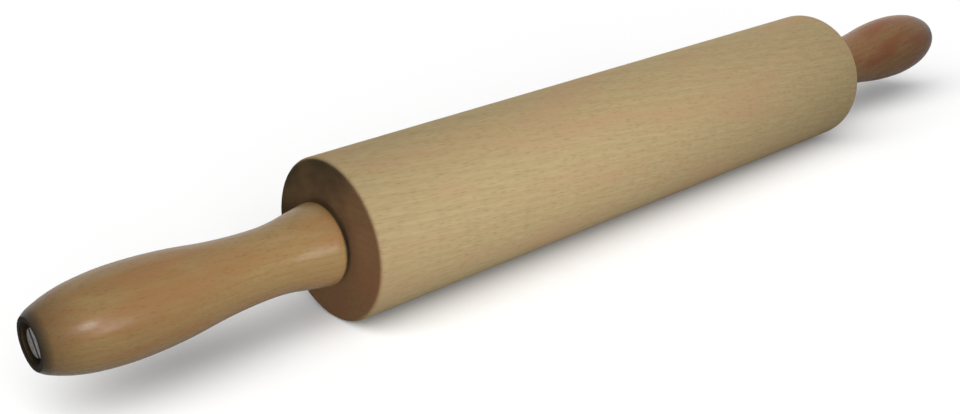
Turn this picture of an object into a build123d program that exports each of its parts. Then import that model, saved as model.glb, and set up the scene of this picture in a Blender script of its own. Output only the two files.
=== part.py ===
from build123d import *
import os

# Rolling pin: a straight roller that turns on a steel axle, with two turned handles
# that turn on the same axle. Lengths are in millimetres. The axle lies along X, +Z is up,
# and the origin is on the axle, at the middle of the roller.

# Roller
ROLLER_DIAMETER = 60.0
ROLLER_LENGTH = 290.0
ROLLER_RIM_RADIUS = 2.0
ROLLER_BORE_CLEARANCE = 1.0

# Axle rod
AXLE_DIAMETER = 10.0
AXLE_END_CHAMFER = 0.5
TAPPED_HOLE_SPARE = 3.0

# Bushes pressed into the ends of the roller
BUSH_LENGTH = 24.0
BUSH_WALL = 3.0
BUSH_RUNNING_CLEARANCE = 0.08
BUSH_FLANGE_WIDTH = 4.0
BUSH_FLANGE_THICKNESS = 2.0
BUSH_NOSE_CHAMFER = 0.8
BUSH_RIB_COUNT = 8
BUSH_RIB_HEIGHT = 0.6
BUSH_RIB_WIDTH = 1.2

# Thrust washers between the roller and the handles
THRUST_WASHER_THICKNESS = 1.0
THRUST_WASHER_WIDTH = 5.5
THRUST_WASHER_CLEARANCE = 0.1

# Handles
HANDLE_LENGTH = 107.0
HANDLE_RIM_DIAMETER = 30.2
HANDLE_RIM_ROUND_LENGTH = 4.4
HANDLE_RIM_ROUND_DEPTH = 3.8
HANDLE_FLARE_DIAMETER = 26.5
HANDLE_NECK_DIAMETER = 24.2
HANDLE_SWELL_DIAMETER = 31.4
HANDLE_SHOULDER_DIAMETER = 29.1
HANDLE_TIP_ROUND_LENGTH = 3.0
HANDLE_TIP_ROUND_DEPTH = 2.0
HANDLE_END_RING_WIDTH = 2.0
HANDLE_BORE_CLEARANCE = 0.1

# Where a handle has those diameters, as shares of its length from the roller outwards
FLARE_SHARE = 0.14
NECK_SHARE = 0.25
SWELL_SHARE = 0.71
SHOULDER_SHARE = 0.85

# Recess in the outer end of a handle, with the washer that holds the handle
COUNTERBORE_DIAMETER = 13.4
SCREW_HEAD_RECESS = 1.2
HANDLE_END_PLAY = 0.3
END_WASHER_THICKNESS = 1.6
END_WASHER_CLEARANCE = 0.4
END_WASHER_EDGE_CHAMFER = 0.25

# Slotted cheese-head screws, and the turn of each slot in degrees from upright
SCREW_DIAMETER = 6.0
SCREW_LENGTH = 16.0
SCREW_HEAD_DIAMETER = 10.0
SCREW_HEAD_HEIGHT = 3.9
SCREW_HEAD_CHAMFER = 0.4
SCREW_TIP_CHAMFER = 0.8
SCREW_SLOT_WIDTH = 1.6
SCREW_SLOT_DEPTH = 1.6
SCREW_CLEARANCE = 0.05
SLOT_TURNS = {"left": 30.0, "right": 75.0}

# How far a cutting solid runs past what it cuts
OVERRUN = 1.0

# Radii worked out from the sizes above
roller_radius = ROLLER_DIAMETER / 2
axle_radius = AXLE_DIAMETER / 2
roller_bore_radius = axle_radius + ROLLER_BORE_CLEARANCE
bush_bore_radius = axle_radius + BUSH_RUNNING_CLEARANCE
bush_radius = bush_bore_radius + BUSH_WALL
bush_flange_radius = bush_radius + BUSH_FLANGE_WIDTH
thrust_bore_radius = axle_radius + THRUST_WASHER_CLEARANCE
thrust_washer_radius = thrust_bore_radius + THRUST_WASHER_WIDTH
handle_bore_radius = axle_radius + HANDLE_BORE_CLEARANCE
counterbore_radius = COUNTERBORE_DIAMETER / 2
end_washer_radius = counterbore_radius - END_WASHER_CLEARANCE
screw_radius = SCREW_DIAMETER / 2
screw_hole_radius = screw_radius + SCREW_CLEARANCE
screw_head_radius = SCREW_HEAD_DIAMETER / 2

# Outline radii of a handle
handle_rim_radius = HANDLE_RIM_DIAMETER / 2
handle_seat_radius = handle_rim_radius - HANDLE_RIM_ROUND_DEPTH
handle_flare_radius = HANDLE_FLARE_DIAMETER / 2
handle_neck_radius = HANDLE_NECK_DIAMETER / 2
handle_swell_radius = HANDLE_SWELL_DIAMETER / 2
handle_shoulder_radius = HANDLE_SHOULDER_DIAMETER / 2
handle_face_radius = counterbore_radius + HANDLE_END_RING_WIDTH
handle_tip_radius = handle_face_radius + HANDLE_TIP_ROUND_DEPTH

# Stations along the axle, measured outwards from the middle of the roller
roller_end = ROLLER_LENGTH / 2
bush_inner_end = roller_end - BUSH_LENGTH
flange_inner_end = roller_end - BUSH_FLANGE_THICKNESS
handle_inner_end = roller_end + THRUST_WASHER_THICKNESS
handle_outer_end = handle_inner_end + HANDLE_LENGTH
screw_head_top = handle_outer_end - SCREW_HEAD_RECESS
screw_head_seat = screw_head_top - SCREW_HEAD_HEIGHT
axle_end = screw_head_seat - END_WASHER_THICKNESS
counterbore_floor = axle_end - HANDLE_END_PLAY
screw_tip = screw_head_seat - SCREW_LENGTH
tapped_hole_floor = screw_tip - TAPPED_HOLE_SPARE

# Direction along X of each end of the pin
SIDES = {"left": -1, "right": 1}


def cross_plane(side, distance):
    """Plane square to the axle at a distance from the middle, facing out of that side."""
    return Plane(origin=(side * distance, 0, 0), x_dir=(0, side, 0), z_dir=(side, 0, 0))


def profile_plane(side):
    """Upright plane through the axle: its x runs outwards on that side, its y upwards."""
    return Plane(origin=(0, 0, 0), x_dir=(side, 0, 0), z_dir=(0, -side, 0))


def handle_station(share):
    """Distance from the middle of the pin at a share of a handle's length."""
    return handle_inner_end + share * HANDLE_LENGTH


def finish(piece, name):
    """Label a finished piece and write its file."""
    piece.part.label = name
    export_step(piece.part, f"parts/{name}.step")
    print(f"{name}: {piece.part.volume:.1f} mm3")


def make_axle_rod():
    """Steel rod, chamfered and tapped at both ends for the end screws."""
    with BuildPart() as axle_rod:
        with BuildSketch(Plane.YZ):
            Circle(axle_radius)
        extrude(amount=axle_end, both=True)
        end_edges = axle_rod.edges().filter_by(GeomType.CIRCLE)
        chamfer(end_edges, length=AXLE_END_CHAMFER)
        for side in SIDES.values():
            with Locations(cross_plane(side, axle_end)):
                Hole(radius=screw_hole_radius, depth=axle_end - tapped_hole_floor)
    return axle_rod


def make_roller():
    """Beech cylinder with rounded rims, bored through, with a stepped bush seat in each end."""
    with BuildPart() as roller:
        with BuildSketch(Plane.YZ):
            Circle(roller_radius)
        extrude(amount=roller_end, both=True)
        rims = roller.edges().filter_by(GeomType.CIRCLE)
        fillet(rims, radius=ROLLER_RIM_RADIUS)
        for side in SIDES.values():
            with Locations(cross_plane(side, roller_end)):
                CounterBoreHole(
                    radius=bush_radius,
                    counter_bore_radius=bush_flange_radius,
                    counter_bore_depth=BUSH_FLANGE_THICKNESS,
                    depth=BUSH_LENGTH,
                )
        with BuildSketch(Plane.YZ):
            Circle(roller_bore_radius)
        extrude(amount=roller_end, both=True, mode=Mode.SUBTRACT)
    return roller


def make_roller_bush(side):
    """Flanged nylon bush, with ribs along it that bite into the wood of the roller."""
    rib_reach = bush_radius + BUSH_RIB_HEIGHT
    rib_inner_end = bush_inner_end + BUSH_NOSE_CHAMFER
    with BuildPart() as bush:
        with BuildSketch(cross_plane(side, bush_inner_end)):
            Circle(bush_radius)
        extrude(amount=BUSH_LENGTH)
        nose = bush.edges().filter_by(GeomType.CIRCLE).sort_by(Axis.X)[0 if side > 0 else -1]
        chamfer(nose, length=BUSH_NOSE_CHAMFER)
        with BuildSketch(cross_plane(side, rib_inner_end)):
            with PolarLocations(rib_reach / 2, BUSH_RIB_COUNT):
                Rectangle(rib_reach, BUSH_RIB_WIDTH)
        extrude(amount=flange_inner_end - rib_inner_end)
        with BuildSketch(cross_plane(side, flange_inner_end)):
            Circle(bush_flange_radius)
        extrude(amount=BUSH_FLANGE_THICKNESS)
        with Locations(cross_plane(side, roller_end)):
            Hole(radius=bush_bore_radius)
    return bush


def make_thrust_washer(side):
    """Steel washer that keeps a handle off the roller."""
    with BuildPart() as washer:
        with BuildSketch(cross_plane(side, roller_end)):
            Circle(thrust_washer_radius)
            Circle(thrust_bore_radius, mode=Mode.SUBTRACT)
        extrude(amount=THRUST_WASHER_THICKNESS)
    return washer


def make_handle(side):
    """Turned handle: rounded rim, flare, neck, swell and rounded tip, bored for the axle.

    The outline is drawn as tangent arcs, from the neck and from the swell to both sides.
    The flank between them turns from hollow to full halfway up.
    """
    seat = (handle_inner_end, handle_seat_radius)
    rim = (handle_inner_end + HANDLE_RIM_ROUND_LENGTH, handle_rim_radius)
    flare = (handle_station(FLARE_SHARE), handle_flare_radius)
    neck = (handle_station(NECK_SHARE), handle_neck_radius)
    swell = (handle_station(SWELL_SHARE), handle_swell_radius)
    flank = ((neck[0] + swell[0]) / 2, (neck[1] + swell[1]) / 2)
    shoulder = (handle_station(SHOULDER_SHARE), handle_shoulder_radius)
    tip = (handle_outer_end - HANDLE_TIP_ROUND_LENGTH, handle_tip_radius)
    face = (handle_outer_end, handle_face_radius)
    with BuildPart() as handle:
        with BuildSketch(profile_plane(side)):
            with BuildLine():
                neck_arc = TangentArc(neck, flare, tangent=(-1, 0))
                flare_arc = TangentArc(flare, rim, tangent=neck_arc % 1)
                TangentArc(rim, seat, tangent=flare_arc % 1)
                TangentArc(neck, flank, tangent=(1, 0))
                TangentArc(swell, flank, tangent=(-1, 0))
                swell_arc = TangentArc(swell, shoulder, tangent=(1, 0))
                shoulder_arc = TangentArc(shoulder, tip, tangent=swell_arc % 1)
                TangentArc(tip, face, tangent=shoulder_arc % 1)
                Polyline(face, (handle_outer_end, 0), (handle_inner_end, 0), seat)
            make_face()
        revolve(axis=Axis.X)
        with Locations(cross_plane(side, handle_outer_end)):
            CounterBoreHole(
                radius=handle_bore_radius,
                counter_bore_radius=counterbore_radius,
                counter_bore_depth=handle_outer_end - counterbore_floor,
            )
    return handle


def make_end_washer(side):
    """Steel washer on the end of the axle, which holds the handle on."""
    with BuildPart() as washer:
        with BuildSketch(cross_plane(side, axle_end)):
            Circle(end_washer_radius)
            Circle(screw_hole_radius, mode=Mode.SUBTRACT)
        extrude(amount=END_WASHER_THICKNESS)
        outer_edges = washer.edges().filter_by(GeomType.CIRCLE).sort_by(SortBy.RADIUS)[-2:]
        chamfer(outer_edges, length=END_WASHER_EDGE_CHAMFER)
    return washer


def make_end_screw(side, slot_turn):
    """Slotted cheese-head screw in the end of the axle."""
    head_plane = cross_plane(side, screw_head_seat)
    slot_floor = screw_head_top - SCREW_SLOT_DEPTH
    with BuildPart() as screw:
        with BuildSketch(head_plane):
            Circle(screw_head_radius)
        extrude(amount=SCREW_HEAD_HEIGHT)
        crown = screw.edges().filter_by(GeomType.CIRCLE).sort_by(Axis.X)[-1 if side > 0 else 0]
        chamfer(crown, length=SCREW_HEAD_CHAMFER)
        with BuildSketch(head_plane):
            Circle(screw_radius)
        extrude(amount=-SCREW_LENGTH)
        point = screw.edges().filter_by(GeomType.CIRCLE).sort_by(Axis.X)[0 if side > 0 else -1]
        chamfer(point, length=SCREW_TIP_CHAMFER)
        with BuildSketch(cross_plane(side, slot_floor)):
            with Locations(Rotation(0, 0, slot_turn)):
                Rectangle(SCREW_SLOT_WIDTH, SCREW_HEAD_DIAMETER + OVERRUN)
        extrude(amount=SCREW_SLOT_DEPTH + OVERRUN, mode=Mode.SUBTRACT)
    return screw


os.makedirs("parts", exist_ok=True)
finish(make_axle_rod(), "axle_rod")
finish(make_roller(), "roller")
for end_name, end_side in SIDES.items():
    finish(make_roller_bush(end_side), f"{end_name}_roller_bush")
    finish(make_thrust_washer(end_side), f"{end_name}_thrust_washer")
    finish(make_handle(end_side), f"{end_name}_handle")
    finish(make_end_washer(end_side), f"{end_name}_end_washer")
    finish(make_end_screw(end_side, SLOT_TURNS[end_name]), f"{end_name}_end_screw")
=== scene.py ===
"""Looks of a rolling pin: a bare beech roller that turns between two lacquered handles.

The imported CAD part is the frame. Turned wood and end fittings are remade here as smooth
lathe-turned pieces in the place of their CAD nodes, and the nodes that stay get their
materials. Lengths are in metres, the axle lies along X and +Z is up.
"""

import logging
import math
from dataclasses import dataclass, field, replace
from enum import Enum

import bmesh
import bpy
from mathutils import Euler, Matrix, Vector


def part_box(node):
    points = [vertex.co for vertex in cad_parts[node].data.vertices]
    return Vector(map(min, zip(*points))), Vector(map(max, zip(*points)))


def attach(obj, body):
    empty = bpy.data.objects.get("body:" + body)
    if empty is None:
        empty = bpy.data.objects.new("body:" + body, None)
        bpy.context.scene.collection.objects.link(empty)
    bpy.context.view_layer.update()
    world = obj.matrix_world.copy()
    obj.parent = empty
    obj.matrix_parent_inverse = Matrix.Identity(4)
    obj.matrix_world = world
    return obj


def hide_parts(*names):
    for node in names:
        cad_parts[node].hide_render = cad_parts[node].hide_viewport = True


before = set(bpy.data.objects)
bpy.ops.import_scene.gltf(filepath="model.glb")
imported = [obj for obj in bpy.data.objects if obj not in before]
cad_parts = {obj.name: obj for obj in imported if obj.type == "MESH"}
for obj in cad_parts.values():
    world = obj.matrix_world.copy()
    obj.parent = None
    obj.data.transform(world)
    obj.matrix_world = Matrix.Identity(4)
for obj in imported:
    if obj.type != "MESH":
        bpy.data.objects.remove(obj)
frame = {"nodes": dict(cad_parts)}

log = logging.getLogger("rolling_pin")

MM = 0.001
MERGE_DISTANCE = 1e-7
SHARP_ANGLE = math.radians(32)

Colour = tuple[float, float, float]
Place = tuple[float, float, float]
Size = tuple[float, float, float]
Turns = tuple[float, float, float]
Span = tuple[float, float]
Socket = bpy.types.NodeSocket


def srgb(red: int, green: int, blue: int) -> Colour:
    """Turn a colour as seen on a screen into the linear values that a shader takes.

    Args:
        red: Red, from 0 to 255.
        green: Green, from 0 to 255.
        blue: Blue, from 0 to 255.

    Returns:
        The linear red, green and blue.
    """
    shares = (red / 255, green / 255, blue / 255)
    return tuple(s / 12.92 if s <= 0.04045 else ((s + 0.055) / 1.055) ** 2.4 for s in shares)


class Side(Enum):
    """An end of the pin, and its direction along X."""

    LEFT = -1
    RIGHT = 1

    def node(self, name: str) -> str:
        """Name of the CAD node of that kind at this end."""
        return f"{self.name.lower()}_{name}"

    def outwards(self, name: str) -> Span:
        """Inner and outer station along the axle of a CAD node at this end.

        Args:
            name: The node's name without its side.

        Returns:
            Its distances from the middle of the pin, the nearer first.
        """
        low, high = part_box(self.node(name))
        near, far = sorted((abs(low[0]), abs(high[0])))
        return near, far


class Way(Enum):
    """A straight direction in a half section: along the axle, or away from it."""

    OUTWARDS = (1.0, 0.0)
    INWARDS = (-1.0, 0.0)
    RISING = (0.0, 1.0)

    @property
    def heading(self) -> Vector:
        """The direction as a vector."""
        return Vector(self.value)


class Recipe:
    """The node tree of a material or of the sky, wired one step at a time.

    At a scale of one, the wave texture turns through WAVE_RATE radians in each metre.
    """

    NOISE_ROUGHNESS = 0.55
    WAVE_RATE = 20.0

    def __init__(self, owner: bpy.types.Material | bpy.types.World) -> None:
        """Start an empty node tree.

        Args:
            owner: The material or the sky that the tree is for.
        """
        owner.use_nodes = True
        self.owner = owner
        self.tree = owner.node_tree
        self.tree.nodes.clear()

    def step(self, kind: str, feeds: dict[str | int, object], **settings: object) -> bpy.types.Node:
        """Add a node.

        Args:
            kind: The node's type, without its ShaderNode prefix.
            feeds: For each input, by name or number, a socket to link or a value to set.
            settings: Properties of the node itself.

        Returns:
            The node.
        """
        node = self.tree.nodes.new(f"ShaderNode{kind}")
        for key, value in settings.items():
            setattr(node, key, value)
        for key, value in feeds.items():
            if isinstance(value, Socket):
                self.tree.links.new(value, node.inputs[key])
            elif isinstance(value, tuple) and node.inputs[key].type == "RGBA":
                node.inputs[key].default_value = (*value, 1.0)
            else:
                node.inputs[key].default_value = value
        return node

    def stretched(self, place: Socket, size: Size) -> Socket:
        """Coordinates in which a pattern of unit cells gets cells of a real size.

        Args:
            place: Coordinates in metres.
            size: Size of a cell along X, Y and Z, in metres.

        Returns:
            The scaled coordinates.
        """
        scale = tuple(1 / length for length in size)
        return self.step("Mapping", {"Vector": place, "Scale": scale}).outputs[0]

    def noise(self, place: Socket, size: Size, detail: float) -> Socket:
        """Soft noise with blobs of a real size.

        Args:
            place: Coordinates in metres.
            size: Size of a blob along X, Y and Z, in metres.
            detail: How many finer layers lie on it.

        Returns:
            A value from 0 to 1.
        """
        cells = self.stretched(place, size)
        feeds = {"Vector": cells, "Scale": 1.0, "Detail": detail, "Roughness": self.NOISE_ROUGHNESS}
        return self.step("TexNoise", feeds).outputs[0]

    def waves(self, place: Socket, spacing: float, shape: dict[str, float], profile: str) -> Socket:
        """Rings round the X axis that come again at a real spacing.

        Args:
            place: Coordinates in metres.
            spacing: Distance from ring to ring, in metres.
            shape: Settings of the wave's distortion.
            profile: How a ring rises and falls.

        Returns:
            A value from 0 to 1.
        """
        feeds = {"Vector": place, "Scale": 2 * math.pi / (self.WAVE_RATE * spacing), **shape}
        settings = {"wave_type": "RINGS", "rings_direction": "X", "wave_profile": profile}
        return self.step("TexWave", feeds, **settings).outputs["Fac"]

    def ramp(self, value: Socket, span: Span, result: Span = (0.0, 1.0)) -> Socket:
        """Smooth step from one result to another as a value crosses a span.

        Args:
            value: The value.
            span: Where the step starts and ends.
            result: Result up to the start, and from the end on.

        Returns:
            The stepped value.
        """
        names = ("Value", "From Min", "From Max", "To Min", "To Max")
        feeds = dict(zip(names, (value, *span, *result)))
        return self.step("MapRange", feeds, interpolation_type="SMOOTHSTEP").outputs[0]

    def maths(self, operation: str, first: Socket | float, second: Socket | float = 0.0) -> Socket:
        """Work out one value from two.

        Args:
            operation: Name of the operation.
            first: First value or socket.
            second: Second value or socket.

        Returns:
            The result.
        """
        return self.step("Math", {0: first, 1: second}, operation=operation).outputs[0]

    def tint(
        self,
        share: Socket,
        base: Socket | Colour,
        other: Socket | Colour,
        blend: str = "MIX",
    ) -> Socket:
        """Lay one colour over another.

        Args:
            share: How much of the other colour, from 0 to 1.
            base: The colour beneath.
            other: The colour on top.
            blend: How the two are blended.

        Returns:
            The blended colour.
        """
        feeds = {0: share, 6: base, 7: other}
        return self.step("Mix", feeds, data_type="RGBA", blend_type=blend).outputs[2]

    def bump(self, height: Socket, depth: float) -> Socket:
        """Relief of a real depth.

        Args:
            height: Height, from 0 to 1.
            depth: Depth of the relief in metres.

        Returns:
            The normal.
        """
        return self.step("Bump", {"Height": height, "Distance": depth, "Strength": 1.0}).outputs[0]

    def from_axis(self, place: Socket) -> Socket:
        """Distance of coordinates from their X axis.

        Args:
            place: Coordinates in metres.

        Returns:
            The distance in metres.
        """
        flat = self.step("Mapping", {"Vector": place, "Scale": (0.0, 1.0, 1.0)}).outputs[0]
        return self.step("VectorMath", {0: flat}, operation="LENGTH").outputs["Value"]

    def surface(self, feeds: dict[str, object]) -> bpy.types.Material:
        """Close the tree with a Principled surface.

        Args:
            feeds: Its inputs.

        Returns:
            The finished material.
        """
        shader = self.step("BsdfPrincipled", feeds)
        self.step("OutputMaterial", {"Surface": shader.outputs[0]})
        return self.owner


@dataclass(frozen=True)
class Beech:
    """Beech wood, bare or lacquered, cut from one blank.

    The pattern fills the wood, so grain and end grain agree wherever the blank is cut. A
    size is in metres, the lean is in radians, a share is of a full effect, and a fade is the
    stretch of a pattern's value over which it comes in. Gloss is the specular level.
    """

    name: str
    pale: Colour
    dark: Colour
    blush: Colour
    fleck: Colour
    # End tones darken end grain; on the handles they are near black and also paint shade on the ends.
    end_tone_near_pith: Colour
    end_tone_off_pith: Colour
    end_span: Span
    end_turn: Span
    # Painted shade: this tone darkens the wood within the given radius of the axle, in the bore and
    # the handles' recess, as the shade that falls there.
    bore_shade: Colour
    bore_shade_radius: float
    pith: Place
    lean: Turns
    ring_spacing: float
    ring_share: float
    fibre_size: Size
    fibre_share: float
    blush_size: Size
    blush_share: float
    fleck_size: Size
    fleck_share: float
    roughness: Span
    end_roughness: float
    gloss: float
    relief: float
    bore_shade_edge: float = 0.5 * MM
    blotch_reach: float = 6 * MM
    blotch_fade: Span = (0.3, 0.7)
    ring_waver: float = 2.5
    ring_waver_scale: float = 0.35
    ring_waver_roughness: float = 0.4
    ring_detail: float = 2.0
    ring_fade: Span = (0.35, 1.0)
    fibre_detail: float = 3.0
    fibre_fade: Span = (0.3, 0.75)
    blush_detail: float = 2.0
    blush_fade: Span = (0.42, 0.7)
    fleck_sway: float = 0.9
    fleck_sway_scale: float = 0.6
    fleck_sway_detail: float = 2.0
    fleck_lot: Span = (0.2, 0.9)
    fleck_rim: Span = (0.55, 0.15)
    relief_fade: Span = (0.2, 0.8)
    fibre_relief: float = 0.5
    sheen_fade: Span = (0.3, 0.7)
    dull_turn: Span = (0.6, 0.98)

    def make(self) -> bpy.types.Material:
        """Build the material.

        Returns:
            The material.
        """
        wood = Recipe(bpy.data.materials.new(self.name))
        where = wood.step("TexCoord", {}).outputs
        turned = {"Vector": where["Object"], "Location": self.pith, "Rotation": self.lean}
        blank = wood.step("Mapping", turned).outputs[0]
        fibres = wood.noise(blank, self.fibre_size, self.fibre_detail)
        clouds = wood.noise(blank, self.blush_size, self.blush_detail)
        flecks = self.flecks(wood, blank)
        across = wood.maths("ABSOLUTE", wood.step("SeparateXYZ", {0: where["Normal"]}).outputs[0])
        # Painted shade: the cut mask covers the bore and the handles' recess, where the wood is
        # darkened as shade.
        bore_shade_span = (self.bore_shade_radius, self.bore_shade_radius - self.bore_shade_edge)
        cut = wood.ramp(wood.from_axis(where["Object"]), bore_shade_span)
        # Darker where the surface faces along the axle: end grain, and on the handles painted shade at
        # their ends.
        end_grain_and_shade_share = wood.ramp(across, self.end_turn)
        colour = self.along_grain(wood, fibres, self.rings(wood, blank), clouds, flecks)
        colour = wood.tint(end_grain_and_shade_share, colour, self.end_grain_and_shade(wood, blank, clouds), "MULTIPLY")
        colour = wood.tint(cut, colour, self.bore_shade, "MULTIPLY")
        raised = wood.ramp(fibres, self.relief_fade, (0.0, self.fibre_relief))
        relief = wood.maths("SUBTRACT", raised, flecks)
        sheen = wood.ramp(fibres, self.sheen_fade, self.roughness)
        dull = wood.maths("MAXIMUM", wood.ramp(across, self.dull_turn), cut)
        dull = wood.maths("MULTIPLY", dull, self.end_roughness)
        return wood.surface(
            {
                "Base Color": colour,
                "Roughness": wood.maths("MAXIMUM", sheen, dull),
                "Specular IOR Level": self.gloss,
                "Normal": wood.bump(relief, self.relief),
            }
        )

    def along_grain(
        self,
        wood: Recipe,
        fibres: Socket,
        rings: Socket,
        clouds: Socket,
        flecks: Socket,
    ) -> Socket:
        """Colour of the long grain.

        Args:
            wood: The node tree.
            fibres: Pattern of the fibres.
            rings: Pattern of the growth rings.
            clouds: Pattern of the warmer clouds.
            flecks: Pattern of the ray flecks.

        Returns:
            The colour.
        """
        fibre = wood.ramp(fibres, self.fibre_fade, (0.0, self.fibre_share))
        blush = wood.ramp(clouds, self.blush_fade, (0.0, self.blush_share))
        colour = wood.tint(fibre, self.pale, self.dark)
        colour = wood.tint(wood.maths("MULTIPLY", rings, self.ring_share), colour, self.dark)
        colour = wood.tint(blush, colour, self.blush)
        return wood.tint(wood.maths("MULTIPLY", flecks, self.fleck_share), colour, self.fleck)

    def end_grain_and_shade(self, wood: Recipe, blank: Socket, clouds: Socket) -> Socket:
        """Colour that darkens end grain, from one tone near the pith line to another further out.

        On the handles both tones are near black, so besides their darker end grain this paints shade
        on the handles' ends. On the roller the end faces grow darker away from the pith line, towards
        their top and back.

        Args:
            wood: The node tree.
            blank: Coordinates in the blank.
            clouds: Pattern that makes the border between the two end tones uneven.

        Returns:
            The colour.
        """
        blotch = wood.ramp(clouds, self.blotch_fade, (-self.blotch_reach, self.blotch_reach))
        pith_share = wood.ramp(wood.maths("ADD", wood.from_axis(blank), blotch), self.end_span)
        return wood.tint(pith_share, self.end_tone_near_pith, self.end_tone_off_pith)

    def rings(self, wood: Recipe, blank: Socket) -> Socket:
        """Growth rings about the pith, each darkening outwards.

        Args:
            wood: The node tree.
            blank: Coordinates in the blank.

        Returns:
            A value from 0 to 1.
        """
        shape = {
            "Distortion": self.ring_waver,
            "Detail": self.ring_detail,
            "Detail Scale": self.ring_waver_scale,
            "Detail Roughness": self.ring_waver_roughness,
        }
        return wood.ramp(wood.waves(blank, self.ring_spacing, shape, "SAW"), self.ring_fade)

    def flecks(self, wood: Recipe, blank: Socket) -> Socket:
        """Short dark ray flecks along the grain, as only beech has.

        Args:
            wood: The node tree.
            blank: Coordinates in the blank.

        Returns:
            A value from 0 to 1.
        """
        cells = wood.stretched(blank, self.fleck_size)
        feeds = {"Vector": cells, "Scale": self.fleck_sway_scale, "Detail": self.fleck_sway_detail}
        sway = wood.step("TexNoise", feeds).outputs[1]
        feeds = {0: sway, 1: (self.fleck_sway,) * 3, 2: cells}
        cells = wood.step("VectorMath", feeds, operation="MULTIPLY_ADD").outputs["Vector"]
        dots = wood.step("TexVoronoi", {"Vector": cells, "Scale": 1.0, "Randomness": 1.0}).outputs
        lot = wood.step("SeparateXYZ", {0: dots["Color"]}).outputs[0]
        chosen = wood.ramp(lot, self.fleck_lot)
        spot = wood.ramp(dots["Distance"], self.fleck_rim)
        return wood.maths("MULTIPLY", chosen, spot)


@dataclass(frozen=True)
class Steel:
    """Steel with a satin, cloudy surface and fine turning marks round the axle."""

    name: str
    tone: Colour
    shade: Colour
    roughness: Span
    mark_spacing: float
    mark_depth: float
    mark_waver: float = 0.4
    cloud_size: Size = (2 * MM, 2 * MM, 2 * MM)
    cloud_detail: float = 4.0
    cloud_fade: Span = (0.35, 0.7)
    sheen_fade: Span = (0.3, 0.7)

    def make(self) -> bpy.types.Material:
        """Build the material.

        Returns:
            The material.
        """
        metal = Recipe(bpy.data.materials.new(self.name))
        place = metal.step("TexCoord", {}).outputs["Object"]
        clouds = metal.noise(place, self.cloud_size, self.cloud_detail)
        marks = metal.waves(place, self.mark_spacing, {"Distortion": self.mark_waver}, "SIN")
        return metal.surface(
            {
                "Base Color": metal.tint(metal.ramp(clouds, self.cloud_fade), self.tone, self.shade),
                "Metallic": 1.0,
                "Roughness": metal.ramp(clouds, self.sheen_fade, self.roughness),
                "Normal": metal.bump(marks, self.mark_depth),
            }
        )


@dataclass(frozen=True)
class Nylon:
    """Moulded nylon with a fine matt skin."""

    name: str
    tone: Colour
    shade: Colour
    roughness: Span = (0.42, 0.55)
    detail: float = 2.0
    cloud_size: Size = (6 * MM, 6 * MM, 6 * MM)
    skin_size: Size = (0.3 * MM, 0.3 * MM, 0.3 * MM)
    skin_depth: float = 0.01 * MM
    fade: Span = (0.3, 0.7)
    milkiness: float = 0.15
    milky_depth: float = 1 * MM

    def make(self) -> bpy.types.Material:
        """Build the material.

        Returns:
            The material.
        """
        plastic = Recipe(bpy.data.materials.new(self.name))
        place = plastic.step("TexCoord", {}).outputs["Object"]
        clouds = plastic.noise(place, self.cloud_size, self.detail)
        skin = plastic.noise(place, self.skin_size, self.detail)
        return plastic.surface(
            {
                "Base Color": plastic.tint(plastic.ramp(clouds, self.fade), self.tone, self.shade),
                "Roughness": plastic.ramp(skin, self.fade, self.roughness),
                "Subsurface Weight": self.milkiness,
                "Subsurface Scale": self.milky_depth,
                "Normal": plastic.bump(skin, self.skin_depth),
            }
        )


BARE_BEECH = Beech(
    name="bare_beech",
    pale=srgb(185, 165, 124),
    dark=srgb(164, 140, 99),
    blush=srgb(184, 153, 116),
    fleck=srgb(138, 110, 74),
    # End faces grow darker away from the pith line, towards the top and back of the roller's ends.
    end_tone_near_pith=(1.0, 0.75, 0.72),
    end_tone_off_pith=(0.22, 0.26, 0.27),
    end_span=(45 * MM, 88 * MM),
    end_turn=(0.6, 0.97),
    # Painted shade: darker inside the bore.
    bore_shade=(0.6, 0.5, 0.45),
    bore_shade_radius=8.5 * MM,
    pith=(185 * MM, 30 * MM, 60 * MM),
    lean=(0.0, -0.104, 0.06),
    ring_spacing=3.2 * MM,
    ring_share=0.22,
    fibre_size=(9 * MM, 0.7 * MM, 0.7 * MM),
    fibre_share=0.45,
    blush_size=(60 * MM, 15 * MM, 15 * MM),
    blush_share=0.75,
    fleck_size=(4.2 * MM, 0.6 * MM, 0.6 * MM),
    fleck_share=0.3,
    roughness=(0.55, 0.7),
    end_roughness=0.9,
    gloss=0.08,
    relief=0.02 * MM,
)
LEFT_LACQUERED_BEECH = Beech(
    name="left_lacquered_beech",
    pale=srgb(170, 141, 94),
    dark=srgb(147, 114, 72),
    blush=srgb(165, 119, 75),
    fleck=srgb(104, 70, 38),
    # Painted shade in part: the near-black end tones darken the tip and end face for their end grain
    # and for the shade that falls there.
    end_tone_near_pith=(0.14, 0.17, 0.24),
    end_tone_off_pith=(0.11, 0.13, 0.19),
    end_span=(10 * MM, 60 * MM),
    end_turn=(0.15, 0.75),
    # Painted shade: near black inside the recess and the bore.
    bore_shade=(0.25, 0.28, 0.36),
    bore_shade_radius=7.4 * MM,
    pith=(296 * MM, 30 * MM, -50 * MM),
    lean=(0.0, -0.04, 0.05),
    ring_spacing=2.4 * MM,
    ring_share=0.25,
    fibre_size=(7 * MM, 0.6 * MM, 0.6 * MM),
    fibre_share=0.5,
    blush_size=(35 * MM, 9 * MM, 9 * MM),
    blush_share=0.7,
    fleck_size=(2.8 * MM, 0.5 * MM, 0.5 * MM),
    fleck_share=0.3,
    roughness=(0.23, 0.3),
    end_roughness=0.85,
    gloss=0.18,
    relief=0.01 * MM,
)
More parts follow.
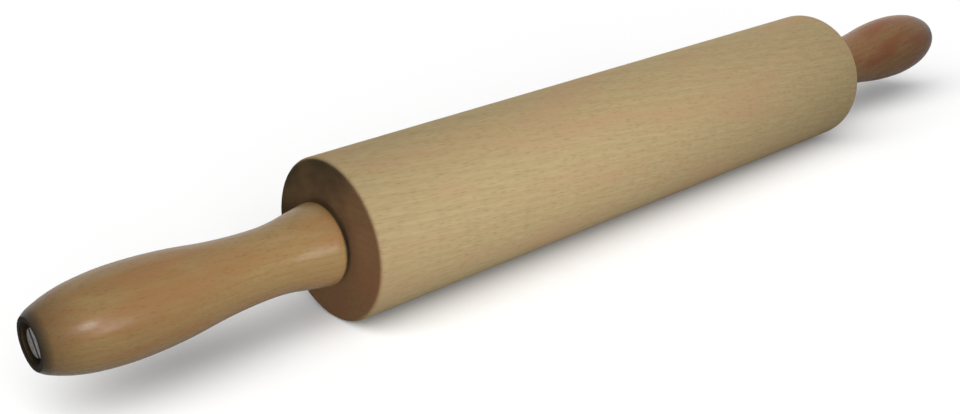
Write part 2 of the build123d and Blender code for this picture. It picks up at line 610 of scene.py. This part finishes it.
# A darker, redder copy of the left handle's wood that partly paints the shade on the far handle; its
# end tones start sooner, painting shade over more of its tip.
RIGHT_LACQUERED_BEECH_PAINTED_SHADE = replace(
    LEFT_LACQUERED_BEECH,
    name="right_lacquered_beech_painted_shade",
    pale=srgb(164, 126, 88),
    dark=srgb(136, 95, 61),
    blush=srgb(148, 90, 62),
    fleck=srgb(94, 60, 34),
    end_turn=(0.08, 0.55),
    pith=(148 * MM, -40 * MM, -40 * MM),
    lean=(0.0, 0.03, -0.04),
    ring_spacing=2.6 * MM,
    blush_share=0.75,
    roughness=(0.22, 0.28),
    gloss=0.04,
)
HANDLE_WOOD = {Side.LEFT: LEFT_LACQUERED_BEECH, Side.RIGHT: RIGHT_LACQUERED_BEECH_PAINTED_SHADE}

DRAWN_STEEL = Steel(
    name="drawn_steel",
    tone=srgb(176, 176, 179),
    shade=srgb(148, 148, 152),
    roughness=(0.28, 0.42),
    mark_spacing=0.3 * MM,
    mark_depth=0.004 * MM,
)
# Painted shade: the thrust washers get this dark steel to stand for the shade in the gap between
# handle and roller.
GAP_SHADE_STEEL = replace(
    DRAWN_STEEL,
    name="steel_darkened_as_gap_shade",
    tone=srgb(72, 68, 62),
    shade=srgb(46, 43, 39),
    roughness=(0.45, 0.6),
)
ZINC_PLATE = Steel(
    name="zinc_plate",
    tone=srgb(156, 154, 150),
    shade=srgb(120, 118, 113),
    roughness=(0.38, 0.55),
    mark_spacing=0.35 * MM,
    mark_depth=0.006 * MM,
)
# Painted shade: the bushes' nylon is darkened to stand for the shade in the gap between handle and
# roller.
GAP_SHADE_NYLON = Nylon(name="nylon_darkened_as_gap_shade", tone=srgb(150, 134, 104), shade=srgb(126, 108, 80))


class Section:
    """Half section of a turned piece, drawn point by point.

    A point is a distance outwards from the middle of the pin and a radius, in metres.
    """

    STRAIGHT_TURN = 1e-6

    def __init__(self, start: Span | Vector) -> None:
        """Start the section at a point.

        Args:
            start: The first point.
        """
        self.points: list[Vector] = [Vector(start)]

    def line(self, *corners: Span) -> None:
        """Go on in straight lines through corners.

        Args:
            corners: The corners in order.
        """
        self.points.extend(Vector(corner) for corner in corners)

    def arc(self, end: Span | Vector, heading: Vector, steps: int) -> Vector:
        """Go on along the one arc that leaves the last point with a heading.

        Args:
            end: Where the arc ends.
            heading: Direction in which it sets off.
            steps: How many straight steps it is drawn in.

        Returns:
            The direction in which it arrives.
        """
        start = self.points[-1]
        chord = Vector(end) - start
        turn = -heading.angle_signed(chord)
        bent = abs(turn) > self.STRAIGHT_TURN
        for step in range(1, steps + 1):
            share = step / steps
            reach = chord.length * (math.sin(turn * share) / math.sin(turn) if bent else share)
            way = heading.normalized()
            way.rotate(Matrix.Rotation(turn * share, 2))
            self.points.append(start + way * reach)
        arrival = heading.normalized()
        arrival.rotate(Matrix.Rotation(2 * turn, 2))
        return arrival

    def backwards(self) -> "Section":
        """The same line, drawn from its last point to its first."""
        section = Section(self.points[-1])
        section.points.extend(self.points[-2::-1])
        return section

    def turned(self, name: str, side: Side, steps: int, closed: bool = True) -> bpy.types.Object:
        """Spin the section round the axle.

        Args:
            name: Name of the piece.
            side: The end of the pin that it belongs to.
            steps: How many facets go round it.
            closed: Whether the last point joins the first. A section that starts and ends
                on the axle stays open.

        Returns:
            The piece, smooth apart from its sharp corners.
        """
        shape = bmesh.new()
        places = [(side.value * station, 0.0, radius) for station, radius in self.points]
        corners = [shape.verts.new(place) for place in places]
        following = corners[1:] + corners[:1] if closed else corners[1:]
        for first, second in zip(corners, following):
            shape.edges.new((first, second))
        bmesh.ops.spin(
            shape,
            geom=shape.verts[:] + shape.edges[:],
            axis=(1.0, 0.0, 0.0),
            cent=(0.0, 0.0, 0.0),
            steps=steps,
            angle=2 * math.pi,
            use_merge=True,
        )
        return as_piece(shape, name)


def as_piece(shape: bmesh.types.BMesh, name: str) -> bpy.types.Object:
    """Clean a mesh and put it in the scene.

    Args:
        shape: The mesh, which is freed.
        name: Name of the piece.

    Returns:
        The piece.
    """
    bmesh.ops.remove_doubles(shape, verts=shape.verts, dist=MERGE_DISTANCE)
    bmesh.ops.recalc_face_normals(shape, faces=shape.faces)
    mesh = bpy.data.meshes.new(name)
    shape.to_mesh(mesh)
    shape.free()
    mesh.shade_smooth()
    mesh.set_sharp_from_angle(angle=SHARP_ANGLE)
    piece = bpy.data.objects.new(name, mesh)
    bpy.context.scene.collection.objects.link(piece)
    return piece


def dress(piece: bpy.types.Object, material: bpy.types.Material) -> None:
    """Give a piece or a CAD node one material all over.

    Args:
        piece: The object.
        material: The material.
    """
    piece.data.materials.clear()
    piece.data.materials.append(material)


def seat(piece: bpy.types.Object, body: str, node: str) -> None:
    """Let a piece stand for a CAD node and ride on its body.

    Args:
        piece: The piece.
        body: The body that carries it.
        node: The CAD node that it replaces.
    """
    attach(piece, body)
    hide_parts(node)
    log.info("%s: %d faces on %s", piece.name, len(piece.data.polygons), body)


@dataclass
class Roller:
    """The bored beech roller with its rounded rims and bush seats."""

    rim_radius: float = 1.5 * MM
    bore_radius: float = 6.0 * MM
    bush_radius: float = 8.08 * MM
    flange_radius: float = 12.08 * MM
    flange_depth: float = 2.0 * MM
    bush_depth: float = 24.0 * MM
    facets: int = 192
    rim_steps: int = 10

    def build(self) -> bpy.types.Object:
        """Turn the roller.

        Returns:
            The piece.
        """
        far_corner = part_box("roller")[1]
        end, radius = far_corner[0], far_corner[2]
        bush_seat = (
            (end, self.flange_radius),
            (end - self.flange_depth, self.flange_radius),
            (end - self.flange_depth, self.bush_radius),
            (end - self.bush_depth, self.bush_radius),
            (end - self.bush_depth, self.bore_radius),
        )
        section = Section((-end, radius - self.rim_radius))
        section.arc((self.rim_radius - end, radius), Way.RISING.heading, self.rim_steps)
        section.line((end - self.rim_radius, radius))
        section.arc((end, radius - self.rim_radius), Way.OUTWARDS.heading, self.rim_steps)
        section.line(*bush_seat)
        section.line(*((-station, height) for station, height in reversed(bush_seat)))
        piece = section.turned("beech_roller", Side.RIGHT, self.facets)
        dress(piece, BARE_BEECH.make())
        seat(piece, "roller", "roller")
        return piece


@dataclass
class Handle:
    """A turned, lacquered handle, with a recess in its end for the fittings."""

    side: Side
    rim_diameter: float = 30.2 * MM
    rim_round_length: float = 4.4 * MM
    rim_round_depth: float = 3.8 * MM
    flare_diameter: float = 26.5 * MM
    neck_diameter: float = 24.2 * MM
    swell_diameter: float = 31.4 * MM
    shoulder_diameter: float = 29.1 * MM
    tip_round_length: float = 3.0 * MM
    tip_round_depth: float = 2.0 * MM
    end_ring_width: float = 2.0 * MM
    bore_diameter: float = 10.2 * MM
    recess_diameter: float = 13.4 * MM
    recess_depth: float = 7.0 * MM
    recess_edge: float = 0.3 * MM
    flare_share: float = 0.14
    neck_share: float = 0.25
    swell_share: float = 0.71
    shoulder_share: float = 0.85
    facets: int = 128
    flare_steps: int = 8
    rise_steps: int = 6
    rim_steps: int = 12
    swell_steps: int = 12
    shoulder_steps: int = 10
    taper_steps: int = 12
    tip_steps: int = 8

    def build(self) -> bpy.types.Object:
        """Turn the handle.

        Returns:
            The piece.
        """
        section = self.outside()
        self.hollow(section)
        piece = section.turned(self.side.node("turned_handle"), self.side, self.facets)
        dress(piece, HANDLE_WOOD[self.side].make())
        seat(piece, self.side.node("handle"), self.side.node("handle"))
        return piece

    def outside(self) -> Section:
        """Draw the outside as a chain of tangent arcs, from the roller to the end face.

        Returns:
            The section so far.
        """
        inner, outer = self.side.outwards("handle")
        rim = Vector((inner + self.rim_round_length, self.rim_diameter / 2))
        seat_edge = Vector((inner, rim.y - self.rim_round_depth))
        flare = self.crossing(self.flare_share, self.flare_diameter)
        neck = self.crossing(self.neck_share, self.neck_diameter)
        swell = self.crossing(self.swell_share, self.swell_diameter)
        shoulder = self.crossing(self.shoulder_share, self.shoulder_diameter)
        face = Vector((outer, self.recess_diameter / 2 + self.end_ring_width))
        tip = Vector((outer - self.tip_round_length, face.y + self.tip_round_depth))

        inwards = Section(neck)
        heading = inwards.arc(flare, Way.INWARDS.heading, self.flare_steps)
        heading = inwards.arc(rim, heading, self.rise_steps)
        inwards.arc(seat_edge, heading, self.rim_steps)

        section = inwards.backwards()
        heading = section.arc((neck + swell) / 2, Way.OUTWARDS.heading, self.swell_steps)
        section.arc(swell, heading, self.swell_steps)
        heading = section.arc(shoulder, Way.OUTWARDS.heading, self.shoulder_steps)
        heading = section.arc(tip, heading, self.taper_steps)
        section.arc(face, heading, self.tip_steps)
        return section

    def crossing(self, share: float, diameter: float) -> Vector:
        """Point of the outline at a share of the handle's length.

        Args:
            share: Share of the length, from the roller outwards.
            diameter: Diameter of the handle there.

        Returns:
            The point.
        """
        inner, outer = self.side.outwards("handle")
        return Vector((inner + share * (outer - inner), diameter / 2))

    def hollow(self, section: Section) -> None:
        """Go on round the recess and back through the bore.

        Args:
            section: The section, drawn as far as the end face.
        """
        inner, outer = self.side.outwards("handle")
        recess, bore = self.recess_diameter / 2, self.bore_diameter / 2
        section.line(
            (outer, recess + self.recess_edge),
            (outer - self.recess_edge, recess),
            (outer - self.recess_depth, recess),
            (outer - self.recess_depth, bore),
            (inner, bore),
        )


@dataclass
class EndFitting:
    """The washer and the slotted cheese-head screw that hold a handle on the axle.

    The turn of a slot about the axle is in degrees.
    """

    side: Side
    metal: bpy.types.Material
    hole_radius: float = 3.05 * MM
    edge: float = 0.25 * MM
    edge_steps: int = 4
    shank_radius: float = 3.0 * MM
    shank_chamfer: float = 0.75 * MM
    head_height: float = 3.9 * MM
    crown: float = 0.45 * MM
    crown_steps: int = 6
    slot_width: float = 1.6 * MM
    slot_depth: float = 1.6 * MM
    slot_overrun: float = 2.5 * MM
    left_slot_turn: float = 30.0
    right_slot_turn: float = 75.0
    facets: int = 64

    def build(self) -> list[bpy.types.Object]:
        """Make the washer and the screw.

        Returns:
            The two pieces.
        """
        return [self.washer(), self.screw()]

    def washer(self) -> bpy.types.Object:
        """Turn the washer, with its outer edges broken.

        Returns:
            The piece.
        """
        inner, outer = self.side.outwards("end_washer")
        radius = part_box(self.side.node("end_washer"))[1][2]
        section = Section((inner, self.hole_radius))
        section.line((inner, radius - self.edge))
        section.arc((inner + self.edge, radius), Way.RISING.heading, self.edge_steps)
        section.line((outer - self.edge, radius))
        section.arc((outer, radius - self.edge), Way.OUTWARDS.heading, self.edge_steps)
        section.line((outer, self.hole_radius))
        piece = section.turned(self.side.node("zinc_washer"), self.side, self.facets)
        dress(piece, self.metal)
        seat(piece, "axle", self.side.node("end_washer"))
        return piece

    def screw(self) -> bpy.types.Object:
        """Turn the screw and cut its slot.

        Returns:
            The piece.
        """
        tip, top = self.side.outwards("end_screw")
        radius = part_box(self.side.node("end_screw"))[1][2]
        under = top - self.head_height
        section = Section((tip, 0.0))
        section.line((tip, self.shank_radius - self.shank_chamfer))
        section.line((tip + self.shank_chamfer, self.shank_radius))
        section.line((under, self.shank_radius), (under, radius), (top - self.crown, radius))
        section.arc((top, radius - self.crown), Way.OUTWARDS.heading, self.crown_steps)
        section.line((top, 0.0))
        piece = section.turned(self.side.node("zinc_screw"), self.side, self.facets, closed=False)
        self.cut_slot(piece, top, radius)
        dress(piece, self.metal)
        seat(piece, "axle", self.side.node("end_screw"))
        return piece

    def cut_slot(self, piece: bpy.types.Object, top: float, radius: float) -> None:
        """Cut the driver slot across the head, with a block that is centred on its top.

        Args:
            piece: The screw.
            top: Station of the top of the head.
            radius: Radius of the head.
        """
        turn = self.left_slot_turn if self.side is Side.LEFT else self.right_slot_turn
        length = 2 * (radius + self.slot_overrun)
        size = Matrix.Diagonal((2 * self.slot_depth, self.slot_width, length, 1.0))
        spin = Euler((math.radians(self.side.value * turn), 0.0, 0.0)).to_matrix().to_4x4()
        place = Matrix.Translation((self.side.value * top, 0.0, 0.0))
        block = bmesh.new()
        bmesh.ops.create_cube(block, size=1.0, matrix=place @ spin @ size)
        cutter = as_piece(block, "slot_cutter")
        cut = piece.modifiers.new("slot", "BOOLEAN")
        cut.object = cutter
        cut.operation = "DIFFERENCE"
        cut.solver = "EXACT"
        graph = bpy.context.evaluated_depsgraph_get()
        finished = bpy.data.meshes.new_from_object(piece.evaluated_get(graph))
        piece.modifiers.clear()
        piece.data = finished
        finished.name = piece.name
        finished.set_sharp_from_angle(angle=SHARP_ANGLE)
        bpy.data.objects.remove(cutter)


@dataclass
class AxleParts:
    """The CAD nodes that stay as they are: rod, bushes and thrust washers."""

    nodes: dict[str, bpy.types.Object] = field(default_factory=lambda: frame["nodes"])

    def build(self) -> None:
        """Give each of them its material."""
        nylon = GAP_SHADE_NYLON.make()
        gap_shade_metal = GAP_SHADE_STEEL.make()
        dress(self.nodes["axle_rod"], DRAWN_STEEL.make())
        for side in Side:
            dress(self.nodes[side.node("thrust_washer")], gap_shade_metal)
            dress(self.nodes[side.node("roller_bush")], nylon)
        log.info("axle_rod, thrust washers and bushes dressed")


class Beam(Enum):
    """Kind of lamp."""

    SPOT = "SPOT"
    PANEL = "AREA"
    DISTANT = "SUN"


@dataclass(frozen=True)
class Lamp:
    """A soft lamp that lights either the pin or the floor under it.

    Width is the lamp's diameter in metres, or the angle in degrees that a distant one fills.
    A panel with a height is a rectangle of that width and height. Cone is a spot's angle in
    degrees.
    """

    name: str
    beam: Beam
    place: Place
    target: Place
    power: float
    width: float
    height: float = 0.0
    cone: float = 45.0
    cone_softness: float = 1.0
    for_floor: bool = False
    in_gloss: bool = True

    def hang(self, floor: bpy.types.Object) -> bpy.types.Object:
        """Hang the lamp, aim it and say what it lights.

        Args:
            floor: The studio floor.

        Returns:
            The lamp.
        """
        light = bpy.data.lights.new(self.name, self.beam.value)
        light.energy = self.power
        if self.beam is Beam.SPOT:
            light.shadow_soft_size = self.width / 2
            light.spot_size = math.radians(self.cone)
            light.spot_blend = self.cone_softness
        elif self.beam is Beam.PANEL:
            light.shape = "RECTANGLE" if self.height else "DISK"
            light.size = self.width
            light.size_y = self.height
        else:
            light.angle = math.radians(self.width)
        lamp = bpy.data.objects.new(self.name, light)
        lamp.location = self.place
        aim = Vector(self.target) - Vector(self.place)
        lamp.rotation_euler = aim.to_track_quat("-Z", "Y").to_euler()
        lamp.visible_glossy = self.in_gloss
        bpy.context.scene.collection.objects.link(lamp)
        lit = bpy.data.collections.new(f"{self.name}_lights")
        lit.objects.link(floor)
        lit.collection_objects[0].light_linking.link_state = "INCLUDE" if self.for_floor else "EXCLUDE"
        lamp.light_linking.receiver_collection = lit
        return lamp


LAMPS = (
    Lamp(
        "key_lamp", Beam.PANEL, place=(-0.29, -0.65, 0.32), target=(-0.15, 0.0, 0.0),
        power=2.1, width=0.08, height=0.18,
    ),
    Lamp(
        "front_lamp", Beam.SPOT, place=(-0.08, -0.75, 0.08), target=(-0.08, 0.0, 0.0),
        power=12.0, width=0.34, cone=41.0,
    ),
    Lamp(
        "fill_lamp", Beam.SPOT, place=(0.0, -0.8, 0.0), target=(0.0, 0.0, -0.01),
        power=3.6, width=0.04, cone=34.0, in_gloss=False,
    ),
    Lamp(
        "end_lamp", Beam.PANEL, place=(-0.7, -0.35, 0.08), target=(-0.145, 0.0, -0.01),
        power=0.45, width=0.15, in_gloss=False,
    ),
    Lamp(
        "top_lamp", Beam.PANEL, place=(0.15, 0.0, 0.5), target=(0.21, 0.0, 0.0),
        power=0.9, width=0.3, in_gloss=False,
    ),
    Lamp(
        "back_lamp", Beam.PANEL, place=(0.0, 0.6, 0.4), target=(0.0, 0.0, 0.0),
        power=2.1, width=0.5, in_gloss=False,
    ),
    Lamp(
        "floor_lamp", Beam.DISTANT, place=(-1.2, -0.8, 1.0), target=(0.0, 0.0, 0.0),
        power=5.5, width=90.0, for_floor=True,
    ),
)


@dataclass
class Studio:
    """White floor and surroundings, soft lamps round the pin, and the camera.

    Azimuth and elevation of the view are in degrees, and the sensor is in millimetres.
    """

    picture_width: float = 960.0
    focal_pixels: float = 1227.2
    azimuth: float = 42.55
    elevation: float = 23.13
    distance: float = 475.7 * MM
    target: Place = (-73.3 * MM, 0.0, -7.9 * MM)
    sensor_width: float = 36.0
    near_clip: float = 10 * MM
    floor_size: float = 12.0
    floor_white: float = 0.94
    floor_gloss: float = 0.57
    floor_bounce: float = 0.05
    sky_bounce: float = 0.07
    sky_white: float = 1.0

    def build(self) -> None:
        """Set up the studio."""
        floor = self.lay_floor()
        self.hang_sky()
        for lamp in LAMPS:
            lamp.hang(floor)
        self.place_camera()

    def lay_floor(self) -> bpy.types.Object:
        """Lay the floor under the roller: white to the camera, paler in gloss than to other rays.

        Returns:
            The floor.
        """
        ground = bmesh.new()
        height = Matrix.Translation((0.0, 0.0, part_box("roller")[0][2]))
        bmesh.ops.create_grid(
            ground, x_segments=1, y_segments=1, size=self.floor_size / 2, matrix=height
        )
        floor = as_piece(ground, "studio_floor")
        paper = Recipe(bpy.data.materials.new("studio_paper"))
        ray = paper.step("LightPath", {}).outputs
        mirrored = paper.maths("MAXIMUM", ray["Is Glossy Ray"], ray["Is Transmission Ray"])
        colour = paper.tint(mirrored, (self.floor_bounce,) * 3, (self.floor_gloss,) * 3)
        colour = paper.tint(ray["Is Camera Ray"], colour, (self.floor_white,) * 3)
        matt = paper.step("BsdfDiffuse", {"Color": colour})
        paper.step("OutputMaterial", {"Surface": matt.outputs[0]})
        dress(floor, paper.owner)
        return floor

    def hang_sky(self) -> None:
        """Surround the pin with a dim sky that looks white to the camera and in gloss."""
        world = bpy.data.worlds.new("studio_sky")
        bpy.context.scene.world = world
        sky = Recipe(world)
        ray = sky.step("LightPath", {}).outputs
        seen = sky.maths("MAXIMUM", ray["Is Camera Ray"], ray["Is Glossy Ray"])
        feeds = {"Value": seen, "To Min": self.sky_bounce, "To Max": self.sky_white}
        strength = sky.step("MapRange", feeds).outputs[0]
        light = sky.step("Background", {"Color": (1.0, 1.0, 1.0), "Strength": strength})
        sky.step("OutputWorld", {"Surface": light.outputs[0]})

    def place_camera(self) -> None:
        """Put the camera where the photograph was taken from."""
        heading = math.radians(self.azimuth)
        tilt = math.radians(self.elevation)
        level = math.cos(tilt)
        forward = Vector((math.sin(heading) * level, math.cos(heading) * level, -math.sin(tilt)))
        lens = bpy.data.cameras.new("camera")
        lens.sensor_width = self.sensor_width
        lens.lens = self.sensor_width * self.focal_pixels / self.picture_width
        lens.clip_start = self.near_clip
        camera = bpy.data.objects.new("camera", lens)
        camera.location = Vector(self.target) - forward * self.distance
        camera.rotation_euler = forward.to_track_quat("-Z", "Y").to_euler()
        bpy.context.scene.collection.objects.link(camera)
        bpy.context.scene.camera = camera
        bpy.context.scene.view_settings.view_transform = "Standard"


def main() -> None:
    """Build the pin in order, from the axle outwards, then the studio."""
    logging.basicConfig(level=logging.INFO, format="%(name)s: %(message)s")
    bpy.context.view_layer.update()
    AxleParts().build()
    Roller().build()
    zinc = ZINC_PLATE.make()
    for side in Side:
        Handle(side).build()
        EndFitting(side, zinc).build()
    Studio().build()


if __name__ == "__main__":
    main()
